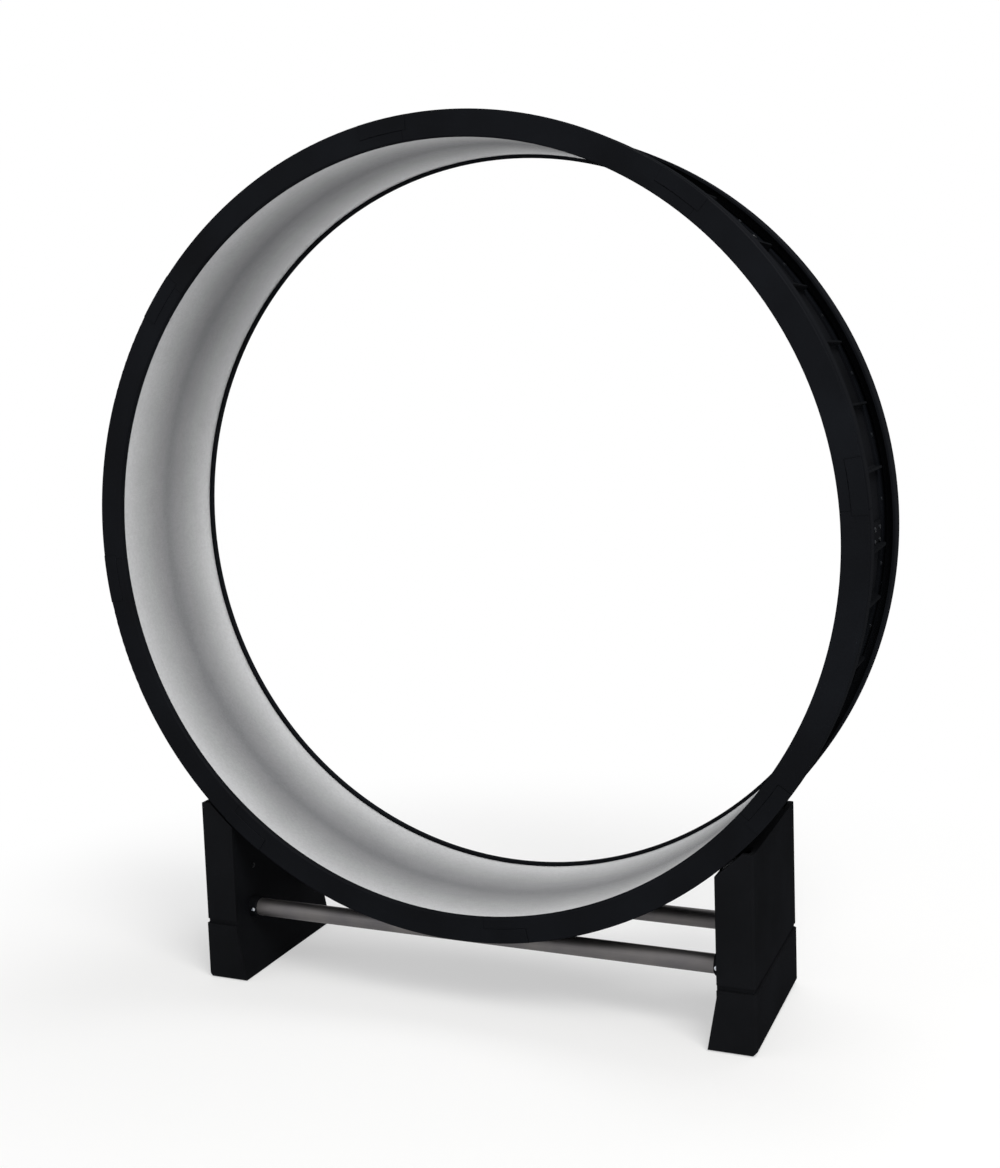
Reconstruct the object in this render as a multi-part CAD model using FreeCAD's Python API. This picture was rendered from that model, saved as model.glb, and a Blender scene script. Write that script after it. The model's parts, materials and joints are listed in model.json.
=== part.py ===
"""Exercise wheel: a mat-lined ring that turns on rollers in the tops of two legs.

Millimetres, +Z up, +X to the right and -Y towards the front. The origin lies on the floor, midway between
the legs and midway between the wheel's two faces. The right leg is modelled and the left one mirrors it.
"""
import FreeCAD, Part
import math
import os

Vector = FreeCAD.Vector
os.makedirs("parts", exist_ok=True)

tolerance = 0.01                  # edges this close to a plane count as lying in it
overcut = 1.0                     # how far a cutting shape reaches past the face that it opens

# ---- Wheel: overall ---------------------------------------------------------------------------------
wheel_diameter = 1220.0
wheel_width = 272.0
ground_clearance = 114.0          # floor to the lowest point of the wheel
seat_gap = 0.1                    # between curved faces that are screwed together

# ---- Wheel: rim segments, one ring at the front and one at the back ---------------------------------
segment_count = 8                 # segments in each ring, and panels in the tread
rim_depth = 38.0                  # height of the ring face, from its inner to its outer edge
rim_wall = 4.0
rim_edge_radius = 2.0
rim_seam = 0.4                    # open line between neighbouring segments
track_width = 38.0                # smooth outer band that runs on the rollers
track_thickness = 4.0
lip_width = 10.0                  # inner lip that covers the edge of the mat
lip_depth = 4.7
ledge_width = 52.0                # shelf that the tread panels are screwed to
ledge_thickness = 3.5
rim_joint_angle = 139.0           # first joint, counted from +X towards +Z
lap_angle = 6.6                   # length of the tongue that laps over the next segment
lap_thickness = 2.0
lap_height = 22.5                 # radial height of the tongue
lap_proud = 0.8                   # how far the tongue stands out of the ring face
lap_clearance = 0.3
lap_root_angle = 0.6              # length of tongue that is one with its own segment

# ---- Wheel: tread panels, joint bars and mat --------------------------------------------------------
panel_thickness = 3.5
panel_side_gap = 0.3
tread_joint_angle = 44.0
ribs_per_pitch = 5                # rib pitches in one panel: four ribs, with a joint bar at the fifth
rib_height = 12.0
rib_thickness = 4.0
rib_length = 166.0
rib_slope = 4.0                   # run of the sloping end of a rib
rib_root = 0.5                    # depth by which a rib is sunk into its panel or bar
rib_corner_radius = 4.0
bar_width = 37.0                  # along the running direction
bar_length = 156.0
bar_thickness = 3.0
bar_edge_radius = 1.0
bar_screw_offset = 9.0            # from the joint to each row of screws
bar_screw_rows = 4
bar_screw_margin = 14.0           # from the bar's end to its first screw
mat_count = 4
mat_thickness = 7.9
mat_gap = 0.3                     # under the lip
mat_inset = 5.5                   # from the ring face to the edge of the mat
mat_seam = 0.3

# ---- Stand: legs ------------------------------------------------------------------------------------
leg_inner_x = 393.5               # inner face of a leg, from the middle of the stand
leg_outer_x = 450.0               # outer face of its lower section
leg_depth = 274.0
leg_wall = 4.0
leg_top_above_axle = 35.0
leg_edge_radius = 4.0
scoop_gap = 3.0                   # between the wheel and the curved top of a leg
upper_inset = 1.0                 # the upper section stands back from the lower one
groove_height = 8.0               # shadow groove above the seam
groove_depth = 2.5
cover_thickness = 4.0
cover_gap = 0.2

base_bottom = 2.0                 # underside of a leg above the floor
base_floor = 5.0
base_spread = 14.5                # how far the foot spreads inwards at the floor
base_spread_height = 80.0
base_chamfer = 6.0
spigot_height = 6.0
spigot_thickness = 2.5
spigot_gap = 0.3
web_spacing = 80.0

foot_length = 54.0
foot_margin = 8.0                 # from the edges of the leg to the foot
foot_outer_margin = 4.0           # from the chamfer to the foot
foot_corner_radius = 4.0
foot_thickness = 4.0
foot_recess_gap = 0.2

# ---- Stand: tubes and their sockets -----------------------------------------------------------------
tube_diameter = 28.0
tube_wall = 1.5
tube_rib_gap = 2.5                # each tube lies this far under the ribs
tube_track_gap = 0.5              # and this far inside the running tracks
socket_wall = 2.5
socket_outside = 14.0             # socket length outside the leg
socket_inside = 20.0              # and inside it
socket_floor = 2.0
socket_chamfer = 1.5
socket_seam_gap = 0.5             # from the seam of the leg up to its sockets
tube_fit = 0.05                   # radial
tube_end_gap = 1.0

# ---- Rollers, axles and brackets --------------------------------------------------------------------
roller_radius = 20.0
roller_width = 22.0
roller_track_gap = 0.3            # between a tyre and the wheel
tyre_thickness = 5.0
tyre_edge_radius = 1.5
tyre_fit = 0.05
roller_side_clearance = 2.0
bearing_outer_radius = 11.0
bearing_width = 7.0
bearing_fit = 0.05                # hub to bearing, radial
hub_waist_radius = 8.0
axle_radius = 4.0
axle_fit = 0.04                   # axle to bearing and bracket, radial
axle_end_gap = 1.0                # from an axle's end to the leg's inner wall
axle_end_length = 2.0             # of an axle outside its bracket, with room for the clip
spacer_width = 1.4
spacer_radius = 6.5
spacer_end_gap = 0.05
sheet_thickness = 2.5
bracket_below_axle = 32.0
bracket_above_axle = 12.0
cheek_nose_radius = 9.0
cheek_lower_radius = 5.4
cheek_root_radius = 2.0
cheek_root_drop = 20.0
clip_thickness = 1.0
clip_radius = 7.0
clip_groove_depth = 0.6
clip_gap = 0.1
clip_mouth_width = 5.4
slot_side_clearance = 2.5
slot_end_clearance = 1.5
slot_drop = 12.0

# ---- Fasteners --------------------------------------------------------------------------------------
screw_gap = 0.05                  # around every shank and under every head
head_rounding = 0.6               # share of a screw head's height that is rounded off
point_length = 0.4                # length and end radius of a screw's point, as shares of its radius
point_radius = 0.5
tread_screw_radius = 1.9
tread_screw_head_radius = 3.8
tread_screw_head_height = 2.4
tread_screw_inset = 46.0          # from the ring face to the row of rim screws
tread_screw_tip_gap = 0.3         # from a tip to the mat
socket_screw_radius = 2.0
socket_screw_head_radius = 3.5
socket_screw_head_height = 2.5
socket_screw_length = 9.0
socket_screw_inset = 5.0          # from the socket's mouth
socket_flat_depth = 0.6
spot_face_gap = 0.5               # around the head of a socket screw
case_screw_radius = 2.0
case_screw_head_radius = 3.8
case_screw_head_height = 2.4
bracket_screw_depth = 2.8
bracket_screw_y = 50.0
bracket_screw_low = 24.0          # below the axle
bracket_screw_high = 4.0          # above the axle
cover_column_radius = 6.0
cover_screw_y = 80.0
cover_screw_below_top = 41.0      # upper screws, below the top edge of the cover
cover_screw_spacing = 39.0        # from the upper screws to the lower ones
cover_screw_grip = 10.0
cover_screw_tip_gap = 1.0
base_screw_radius = 2.5
base_screw_head_radius = 4.7
base_screw_head_height = 3.5
counterbore_gap = 0.3             # around the head of a base screw
base_screw_y = 45.0
column_radius = 7.0
column_sink = 0.5                 # depth by which a column is sunk into the outer wall
column_height = 30.0
column_cap = 6.0
base_screw_grip = 24.0

# ---- Worked-out places ------------------------------------------------------------------------------
wheel_radius = wheel_diameter / 2
wheel_half_width = wheel_width / 2
wheel_height = ground_clearance + wheel_radius
rim_inner_radius = wheel_radius - rim_depth
mat_inner_radius = rim_inner_radius + lip_depth + mat_gap
mat_outer_radius = mat_inner_radius + mat_thickness
panel_inner_radius = mat_outer_radius + seat_gap
panel_outer_radius = panel_inner_radius + panel_thickness
ledge_inner_radius = panel_outer_radius + seat_gap
ledge_outer_radius = ledge_inner_radius + ledge_thickness
segment_angle = 360.0 / segment_count
rib_pitch = segment_angle / ribs_per_pitch
bar_inner_radius = panel_outer_radius + seat_gap
bar_outer_radius = bar_inner_radius + bar_thickness
tread_screw_y = wheel_half_width - tread_screw_inset

leg_half_depth = leg_depth / 2
upper_outer_x = leg_outer_x - upper_inset
upper_half_depth = leg_half_depth - upper_inset
upper_inside_x = upper_outer_x - leg_wall
upper_inside_y = upper_half_depth - leg_wall
scoop_radius = wheel_radius + scoop_gap
cover_top = wheel_height - math.sqrt(scoop_radius ** 2 - leg_inner_x ** 2)
cover_screw_heights = (cover_top - cover_screw_below_top - cover_screw_spacing,
                       cover_top - cover_screw_below_top)
axle_x = upper_inside_x - sheet_thickness - roller_side_clearance - roller_radius
axle_reach = wheel_radius + roller_track_gap + roller_radius
axle_height = wheel_height - math.sqrt(axle_reach ** 2 - axle_x ** 2)
leg_top = axle_height + leg_top_above_axle
column_x = upper_inside_x - column_radius + column_sink
tube_radius = tube_diameter / 2
tube_y = wheel_half_width - track_width - tube_track_gap - tube_radius
tube_height = wheel_height - panel_outer_radius - rib_height - tube_rib_gap - tube_radius
socket_bore_radius = tube_radius + tube_fit
socket_radius = tube_radius + socket_wall
seam_height = tube_height - socket_radius - socket_seam_gap
socket_mouth_x = leg_inner_x - socket_outside
socket_end_x = leg_inner_x + cover_thickness + socket_inside
tube_end_x = socket_end_x - socket_floor - tube_end_gap
socket_screw_x = socket_mouth_x + socket_screw_inset
socket_flat_reach = socket_radius - socket_flat_depth
axle_half_length = upper_inside_y - axle_end_gap
bracket_half_length = axle_half_length - axle_end_length
cheek_gap = roller_width / 2 + spacer_width + 2 * spacer_end_gap
roller_y = bracket_half_length - sheet_thickness - cheek_gap
clip_y = bracket_half_length + clip_gap


# ---- Shape helpers ----------------------------------------------------------------------------------
def rounded_wire(corners, place):
    """Closed wire through corners (a, b, radius); place turns each (a, b) into a point in space."""
    edges = []
    arcs = []
    for index, (a, b, radius) in enumerate(corners):
        corner = Vector(a, b, 0)
        before = Vector(*corners[index - 1][:2], 0)
        after = Vector(*corners[(index + 1) % len(corners)][:2], 0)
        back = (before - corner).normalize()
        ahead = (after - corner).normalize()
        half_turn = back.getAngle(ahead) / 2
        reach = radius / math.tan(half_turn)
        middle = (back + ahead).normalize() * (radius / math.sin(half_turn) - radius)
        arcs.append((corner + back * reach, corner + middle, corner + ahead * reach, radius))
    for index, (start, middle, end, radius) in enumerate(arcs):
        leaving = arcs[index - 1][2]
        edges.append(Part.LineSegment(place(leaving.x, leaving.y), place(start.x, start.y)).toShape())
        if radius > 0:
            through = [place(point.x, point.y) for point in (start, middle, end)]
            edges.append(Part.Arc(*through).toShape())
    return Part.Wire(edges)


def wheel_sector(corners, start_angle, end_angle):
    """Section of (y, radius, corner radius) turned about the wheel's axis, angles from +X towards +Z."""
    face = Part.Face(rounded_wire(corners, lambda y, r: Vector(r, y, wheel_height)))
    sector = face.revolve(Vector(0, 0, wheel_height), Vector(0, -1, 0), end_angle - start_angle)
    return at_angle(sector, start_angle)


def at_angle(shape, angle):
    """Copy of a shape turned about the wheel's axis, from +X towards +Z."""
    turned = shape.copy()
    turned.rotate(Vector(0, 0, wheel_height), Vector(0, -1, 0), angle)
    return turned


def box(x_range, y_range, z_range):
    size = [abs(pair[1] - pair[0]) for pair in (x_range, y_range, z_range)]
    return Part.makeBox(*size, Vector(min(x_range), min(y_range), min(z_range)))


def upright_edges(shape, x_low, x_high):
    """Vertical edges of a shape that lie between two x values."""
    found = []
    for edge in shape.Edges:
        first, last = edge.Vertexes[0].Point, edge.Vertexes[-1].Point
        upright = abs(first.x - last.x) < tolerance and abs(first.y - last.y) < tolerance
        if upright and x_low <= first.x <= x_high:
            found.append(edge)
    return found


def along_x(radius, x_range, y, z):
    return Part.makeCylinder(radius, x_range[1] - x_range[0], Vector(x_range[0], y, z), Vector(1, 0, 0))


def along_y(radius, y_range, x, z):
    return Part.makeCylinder(radius, y_range[1] - y_range[0], Vector(x, y_range[0], z), Vector(0, 1, 0))


def along_z(radius, z_range, x, y):
    return Part.makeCylinder(radius, z_range[1] - z_range[0], Vector(x, y, z_range[0]), Vector(0, 0, 1))


def pan_screw(head_radius, head_height, shank_radius, length):
    """Pan head screw with its head's underside at the origin and its shank along -Z."""
    head = Part.makeCylinder(head_radius, head_height)
    rim = [edge for edge in head.Edges if edge.BoundBox.ZMin > head_height - tolerance]
    head = head.makeFillet(head_rounding * head_height, rim)
    tip = point_length * shank_radius
    shank = Part.makeCylinder(shank_radius, length - tip, Vector(0, 0, tip - length))
    point = Part.makeCone(point_radius * shank_radius, shank_radius, tip, Vector(0, 0, -length))
    return head.fuse([shank, point]).removeSplitter()


def point_screw(screw, position, outward):
    """Copy of a screw with its head's underside at a position and its head facing outwards."""
    placed = screw.copy()
    placed.Placement = FreeCAD.Placement(position, FreeCAD.Rotation(Vector(0, 0, 1), outward))
    return placed


def mirrored(shape):
    return shape.mirror(Vector(0, 0, 0), Vector(1, 0, 0))


def both_sides(shapes):
    """Right-hand shapes followed by their left-hand twins."""
    return shapes + [mirrored(shape) for shape in shapes]


# ---- Wheel ------------------------------------------------------------------------------------------
def radial_place(radius, y, angle):
    turn = math.radians(angle)
    return Vector(radius * math.cos(turn), y, wheel_height + radius * math.sin(turn))


def outward_from_axis(angle):
    turn = math.radians(angle)
    return Vector(math.cos(turn), 0, math.sin(turn))


def rim_screw_angles():
    """One rim screw midway between each pair of neighbouring ribs."""
    count = segment_count * ribs_per_pitch
    return [tread_joint_angle + (index + 0.5) * rib_pitch for index in range(count)]


def bar_screw_places(joint_angle):
    """(angle, y) of each screw in the joint bar at an angle."""
    step = math.degrees(bar_screw_offset / panel_outer_radius)
    span = bar_length - 2 * bar_screw_margin
    rows = [-span / 2 + span * row / (bar_screw_rows - 1) for row in range(bar_screw_rows)]
    return [(joint_angle + side * step, y) for side in (-1, 1) for y in rows]


def screw_hole(angle, y):
    """Radial hole through the ledge or bar and the panel under it."""
    start = radial_place(panel_inner_radius - seat_gap, y, angle)
    length = ledge_outer_radius + panel_thickness - panel_inner_radius
    return Part.makeCylinder(tread_screw_radius + screw_gap, length, start, outward_from_axis(angle))


def rim_segment(side):
    """Rim segment from angle 0, for the front (side -1) or the back ring (side 1)."""
    def section(corners):
        return [(side * (wheel_half_width - inset), radius, ease) for inset, radius, ease in corners]

    seam_angle = math.degrees(rim_seam / wheel_radius)
    body = wheel_sector(section([
        (0, rim_inner_radius, rim_edge_radius),
        (0, wheel_radius, rim_edge_radius),
        (track_width, wheel_radius, rim_edge_radius / 2),
        (track_width, wheel_radius - track_thickness, 0),
        (rim_wall, wheel_radius - track_thickness, 0),
        (rim_wall, ledge_outer_radius, 0),
        (ledge_width, ledge_outer_radius, 0),
        (ledge_width, ledge_inner_radius, 0),
        (rim_wall, ledge_inner_radius, 0),
        (rim_wall, rim_inner_radius + lip_depth, 0),
        (lip_width, rim_inner_radius + lip_depth, 0),
        (lip_width, rim_inner_radius, 0),
    ]), 0, segment_angle - seam_angle)

    tongue_inner = wheel_radius - lap_height
    pocket = wheel_sector(section([
        (-rim_wall, tongue_inner - lap_clearance, 0),
        (-rim_wall, wheel_radius + rim_wall, 0),
        (lap_thickness + lap_clearance, wheel_radius + rim_wall, 0),
        (lap_thickness + lap_clearance, tongue_inner - lap_clearance, 0),
    ]), -lap_root_angle, lap_angle + seam_angle)
    tongue = wheel_sector(section([
        (-lap_proud, tongue_inner, rim_edge_radius / 2),
        (-lap_proud, wheel_radius - lap_clearance, rim_edge_radius / 2),
        (lap_thickness, wheel_radius - lap_clearance, 0),
        (lap_thickness, tongue_inner, 0),
    ]), segment_angle - lap_root_angle, segment_angle + lap_angle)
    segment = body.cut(pocket).fuse(tongue)

    turned_back = {round((angle - rim_joint_angle) % segment_angle, 6) for angle in rim_screw_angles()}
    return segment.cut([screw_hole(angle, side * tread_screw_y) for angle in sorted(turned_back)])


def tread_rib(seat_radius, length, angle):
    """Rib across the wheel, with sloping ends. It stands on a panel or bar of the seat radius."""
    root = seat_radius - rib_root
    crest = panel_outer_radius + rib_height
    half = length / 2
    shoulder = half - rib_slope
    corners = [(-half, root, 0), (-shoulder, crest, rib_corner_radius),
               (shoulder, crest, rib_corner_radius), (half, root, 0)]
    wire = rounded_wire(corners, lambda y, r: Vector(r, y, wheel_height - rib_thickness / 2))
    return at_angle(Part.Face(wire).extrude(Vector(0, 0, rib_thickness)), angle)


def tread_panel():
    """Tread panel from angle 0, with its ribs and screw holes."""
    half = wheel_half_width - rim_wall - panel_side_gap
    seam_angle = math.degrees(rim_seam / panel_outer_radius)
    skin = wheel_sector([
        (-half, panel_inner_radius, 0), (half, panel_inner_radius, 0),
        (half, panel_outer_radius, 0), (-half, panel_outer_radius, 0),
    ], seam_angle / 2, segment_angle - seam_angle / 2)
    ribs = [tread_rib(panel_outer_radius, rib_length, index * rib_pitch)
            for index in range(1, ribs_per_pitch)]
    holes = [screw_hole((index + 0.5) * rib_pitch, side * tread_screw_y)
             for index in range(ribs_per_pitch) for side in (-1, 1)]
    for end in (0, segment_angle):
        holes += [screw_hole(angle, y) for angle, y in bar_screw_places(end) if 0 < angle < segment_angle]
    return skin.fuse(ribs).cut(holes)


def joint_bar():
    """Curved bar across the outside of the joint at angle 0, with a rib along one edge."""
    half_angle = math.degrees(bar_width / 2 / bar_outer_radius)
    flange_offset = bar_width / 2 - bar_edge_radius - rib_thickness / 2
    flange_angle = math.degrees(flange_offset / bar_outer_radius)
    half = bar_length / 2
    bar = wheel_sector([
        (-half, bar_inner_radius, 0), (half, bar_inner_radius, 0),
        (half, bar_outer_radius, bar_edge_radius), (-half, bar_outer_radius, bar_edge_radius),
    ], -half_angle, half_angle)
    flange_length = bar_length - 2 * bar_edge_radius
    flange = tread_rib(bar_outer_radius, flange_length, -flange_angle)
    return bar.fuse(flange).cut([screw_hole(angle, y) for angle, y in bar_screw_places(0)])


def running_mat():
    """One length of mat, from angle 0."""
    half = wheel_half_width - mat_inset
    seam_angle = math.degrees(mat_seam / mat_outer_radius)
    return wheel_sector([
        (-half, mat_inner_radius, 0), (half, mat_inner_radius, 0),
        (half, mat_outer_radius, 0), (-half, mat_outer_radius, 0),
    ], seam_angle / 2, 360 / mat_count - seam_angle / 2)


def tread_screw(seat_radius):
    length = seat_radius + screw_gap - mat_outer_radius - tread_screw_tip_gap
    return pan_screw(tread_screw_head_radius, tread_screw_head_height, tread_screw_radius, length)


def wheel_parts():
    parts = {}
    rims = {"front": rim_segment(-1), "back": rim_segment(1)}
    panel = tread_panel()
    bar = joint_bar()
    bars = []
    for index in range(segment_count):
        turn = index * segment_angle
        for name, rim in rims.items():
            parts[f"rim_{name}_{index + 1}"] = at_angle(rim, rim_joint_angle + turn)
        parts[f"tread_panel_{index + 1}"] = at_angle(panel, tread_joint_angle + turn)
        bars.append(at_angle(bar, tread_joint_angle + turn))
    for index in range(mat_count):
        mat_turn = tread_joint_angle + rib_pitch / 2 + index * 360 / mat_count
        parts[f"running_mat_{index + 1}"] = at_angle(running_mat(), mat_turn)
    parts["tread_joint_bars"] = Part.makeCompound(bars)

    bar_screw = tread_screw(bar_outer_radius)
    bar_screws = []
    for index in range(segment_count):
        for angle, y in bar_screw_places(tread_joint_angle + index * segment_angle):
            seat = radial_place(bar_outer_radius + screw_gap, y, angle)
            bar_screws.append(point_screw(bar_screw, seat, outward_from_axis(angle)))
    parts["joint_bar_screws"] = Part.makeCompound(bar_screws)

    rim_screw = tread_screw(ledge_outer_radius)
    rim_screws = []
    for angle in rim_screw_angles():
        for side in (-1, 1):
            seat = radial_place(ledge_outer_radius + screw_gap, side * tread_screw_y, angle)
            rim_screws.append(point_screw(rim_screw, seat, outward_from_axis(angle)))
    parts["rim_screws"] = Part.makeCompound(rim_screws)
    return parts


# ---- Stand ------------------------------------------------------------------------------------------
def scoop(radius):
    """Cylinder of the wheel's path, right through the legs."""
    return along_y(radius, (-leg_depth, leg_depth), 0, wheel_height)


def cover_screw_places():
    """(y, z) of the four screws in a leg cover."""
    return [(side * cover_screw_y, z) for side in (-1, 1) for z in cover_screw_heights]


def bracket_screw_places():
    """(y, z) of the four screws in a roller bracket."""
    heights = (axle_height - bracket_screw_low, axle_height + bracket_screw_high)
    return [(side * bracket_screw_y, z) for side in (-1, 1) for z in heights]


def leg_shell():
    """Upper section of the right leg, open at its inner side and at its bottom."""
    back = leg_inner_x + cover_thickness
    open_x = leg_inner_x - overcut
    open_z = seam_height - overcut
    outside = box((leg_inner_x, upper_outer_x), (-upper_half_depth, upper_half_depth),
                  (seam_height, leg_top))
    corners = upright_edges(outside, upper_outer_x - tolerance, upper_outer_x + tolerance)
    outside = outside.makeFillet(leg_edge_radius, corners)
    inside = box((open_x, upper_inside_x), (-upper_inside_y, upper_inside_y), (open_z, leg_top - leg_wall))
    cover_room = box((open_x, back), (-upper_inside_y, upper_inside_y), (open_z, leg_top))
    shell = outside.cut(scoop(scoop_radius))
    shell = shell.cut([inside.cut(scoop(scoop_radius + leg_wall)), cover_room])

    groove = box((0, leg_outer_x), (-leg_depth, leg_depth), (open_z, seam_height + groove_height))
    kept_y = upper_half_depth - groove_depth
    groove = groove.cut(box((0, upper_outer_x - groove_depth), (-kept_y, kept_y), (0, leg_top)))
    shell = shell.cut(groove)

    slot_half = roller_width / 2 + slot_side_clearance
    slot_end = axle_x + roller_radius + slot_end_clearance
    slots = [box((open_x, slot_end), (side * roller_y - slot_half, side * roller_y + slot_half),
                 (axle_height - slot_drop, leg_top + overcut)) for side in (-1, 1)]
    shell = shell.cut(slots)

    columns = [along_x(cover_column_radius, (back, upper_inside_x + column_sink), y, z)
               for y, z in cover_screw_places()]
    columns += [along_z(column_radius, (seam_height, seam_height + column_height),
                        column_x, side * base_screw_y) for side in (-1, 1)]
    shell = shell.fuse(columns)

    hole = case_screw_radius + screw_gap
    bracket_hole_end = upper_inside_x + bracket_screw_depth + screw_gap
    holes = [along_x(hole, (back - overcut, back + cover_screw_grip), y, z)
             for y, z in cover_screw_places()]
    holes += [along_x(hole, (upper_inside_x - overcut, bracket_hole_end), y, z)
              for y, z in bracket_screw_places()]
    holes += [along_z(base_screw_radius + screw_gap, (open_z, seam_height + base_screw_grip + overcut),
                      column_x, side * base_screw_y) for side in (-1, 1)]
    return shell.cut(holes).removeSplitter()


def leg_cover():
    """Plate that closes the inner side of the right leg, with the two tube sockets."""
    half = upper_inside_y - cover_gap
    plate = box((leg_inner_x, leg_inner_x + cover_thickness), (-half, half), (seam_height, leg_top))
    plate = plate.cut(scoop(scoop_radius))
    for side in (-1, 1):
        socket = along_x(socket_radius, (socket_mouth_x, socket_end_x), side * tube_y, tube_height)
        mouth = [edge for edge in socket.Edges if edge.BoundBox.XMax < socket_mouth_x + tolerance]
        plate = plate.fuse(socket.makeChamfer(socket_chamfer, mouth))
    bores = []
    for side in (-1, 1):
        bores.append(along_x(socket_bore_radius, (socket_mouth_x - overcut, socket_end_x - socket_floor),
                             side * tube_y, tube_height))
        face_y = side * (tube_y + socket_flat_reach)
        bores.append(along_y(socket_screw_head_radius + spot_face_gap,
                             sorted((face_y, face_y + side * socket_wall)), socket_screw_x, tube_height))
        bores.append(along_y(socket_screw_radius + screw_gap,
                             sorted((side * tube_y, face_y)), socket_screw_x, tube_height))
    through = (leg_inner_x - overcut, leg_inner_x + cover_thickness + overcut)
    bores += [along_x(case_screw_radius + screw_gap, through, y, z) for y, z in cover_screw_places()]
    return plate.cut(bores)


def base_outline(inset, floor):
    """Front view of a leg's lower section, set in by a wall and with a floor."""
    chamfer = base_chamfer - (2 - math.sqrt(2)) * inset
    rise = base_bottom + floor
    lean = base_spread / (base_spread_height - base_bottom)
    top = seam_height + inset
    return [
        (leg_inner_x - base_spread + lean * floor + inset, rise, 0),
        (leg_outer_x - inset - chamfer, rise, 0),
        (leg_outer_x - inset, rise + chamfer, 0),
        (leg_outer_x - inset, top, 0),
        (leg_inner_x + inset, top, 0),
        (leg_inner_x + inset, base_spread_height, 0),
    ]


def foot_box(side, gap):
    """Rubber foot, or its recess when gap is more than 0."""
    inner_x = leg_inner_x - base_spread + foot_margin - gap
    outer_x = leg_outer_x - base_chamfer - foot_outer_margin + gap
    outer_y = leg_half_depth - foot_margin + gap
    inner_y = outer_y - foot_length - 2 * gap
    pad = box((inner_x, outer_x), (side * inner_y, side * outer_y), (0, foot_thickness))
    return pad.makeFillet(foot_corner_radius + gap, upright_edges(pad, inner_x, outer_x))


def leg_base():
    """Lower section of the right leg, hollow and open at its top."""
    def prism(corners, half):
        face = Part.Face(rounded_wire(corners, lambda x, z: Vector(x, -half, z)))
        return face.extrude(Vector(0, 2 * half, 0))

    outside = prism(base_outline(0, 0), leg_half_depth)
    corners = upright_edges(outside, leg_outer_x - tolerance, leg_outer_x + tolerance)
    outside = outside.makeFillet(leg_edge_radius, corners)
    inside_half = leg_half_depth - leg_wall
    inside = prism(base_outline(leg_wall, base_floor), inside_half)
    webs = [box((0, leg_outer_x), (y - leg_wall / 2, y + leg_wall / 2), (0, seam_height - leg_wall))
            for y in (-web_spacing, 0, web_spacing)]
    base = outside.cut(inside.cut(webs))

    ring_x = (leg_inner_x + cover_thickness + spigot_gap, upper_inside_x - spigot_gap)
    ring_y = upper_inside_y - spigot_gap
    ring = box(ring_x, (-ring_y, ring_y), (seam_height - leg_wall, seam_height + spigot_height))
    hollow = box((ring_x[0] + spigot_thickness, ring_x[1] - spigot_thickness),
                 (spigot_thickness - ring_y, ring_y - spigot_thickness),
                 (seam_height - 2 * leg_wall, seam_height + 2 * spigot_height))
    column_room = [along_z(column_radius + spigot_gap, (seam_height, seam_height + column_height),
                           column_x, side * base_screw_y) for side in (-1, 1)]
    socket_room = [box((0, socket_end_x + spigot_gap),
                       (y - socket_radius - spigot_gap, y + socket_radius + spigot_gap),
                       (seam_height, seam_height + 2 * spigot_height)) for y in (-tube_y, tube_y)]
    spigot = ring.cut([hollow] + column_room + socket_room)
    columns = [along_z(column_radius, (base_bottom, seam_height), column_x, side * base_screw_y)
               for side in (-1, 1)]
    base = base.fuse([spigot] + columns)

    cuts = [foot_box(side, foot_recess_gap) for side in (-1, 1)]
    for side in (-1, 1):
        y = side * base_screw_y
        cuts.append(along_z(base_screw_head_radius + counterbore_gap, (0, seam_height - column_cap),
                            column_x, y))
        cuts.append(along_z(base_screw_radius + screw_gap, (0, seam_height + overcut), column_x, y))
    return base.cut(cuts).removeSplitter()


def tube(side):
    """Tube between the legs, at the front (side -1) or at the rear (side 1)."""
    span = (-tube_end_x, tube_end_x)
    pipe = along_x(tube_radius, span, side * tube_y, tube_height)
    pipe = pipe.cut(along_x(tube_radius - tube_wall, span, side * tube_y, tube_height))
    wall_y = sorted((side * tube_y, side * (tube_y + tube_diameter)))
    holes = [along_y(socket_screw_radius + screw_gap, wall_y, x, tube_height)
             for x in (-socket_screw_x, socket_screw_x)]
    return pipe.cut(holes)


def roller_bracket():
    """Folded steel bracket of the right leg: a back plate with two cheeks beside each roller."""
    plate_x = (upper_inside_x - sheet_thickness, upper_inside_x)
    bracket = box(plate_x, (-bracket_half_length, bracket_half_length),
                  (axle_height - bracket_below_axle, axle_height + bracket_above_axle))
    for centre in (-roller_y, roller_y):
        for low in (centre - cheek_gap - sheet_thickness, centre + cheek_gap):
            corners = [
                (axle_x - cheek_nose_radius, axle_height + cheek_nose_radius, cheek_nose_radius),
                (plate_x[1], axle_height + cheek_nose_radius, 0),
                (plate_x[1], axle_height - cheek_root_drop, 0),
                (plate_x[0] - roller_side_clearance, axle_height - cheek_root_drop, cheek_root_radius),
                (axle_x - cheek_nose_radius, axle_height - cheek_nose_radius, cheek_lower_radius),
            ]
            wire = rounded_wire(corners, lambda x, z, y=low: Vector(x, y, z))
            bracket = bracket.fuse(Part.Face(wire).extrude(Vector(0, sheet_thickness, 0)))
    axle_hole = along_y(axle_radius + axle_fit, (-leg_depth, leg_depth), axle_x, axle_height)
    through = (plate_x[0] - overcut, plate_x[1] + overcut)
    holes = [along_x(case_screw_radius + screw_gap, through, y, z) for y, z in bracket_screw_places()]
    return bracket.cut([axle_hole] + holes).removeSplitter()


def ring(outer_radius, inner_radius, y_range):
    """Ring about the right leg's axle."""
    solid = along_y(outer_radius, y_range, axle_x, axle_height)
    return solid.cut(along_y(inner_radius, y_range, axle_x, axle_height))


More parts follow.
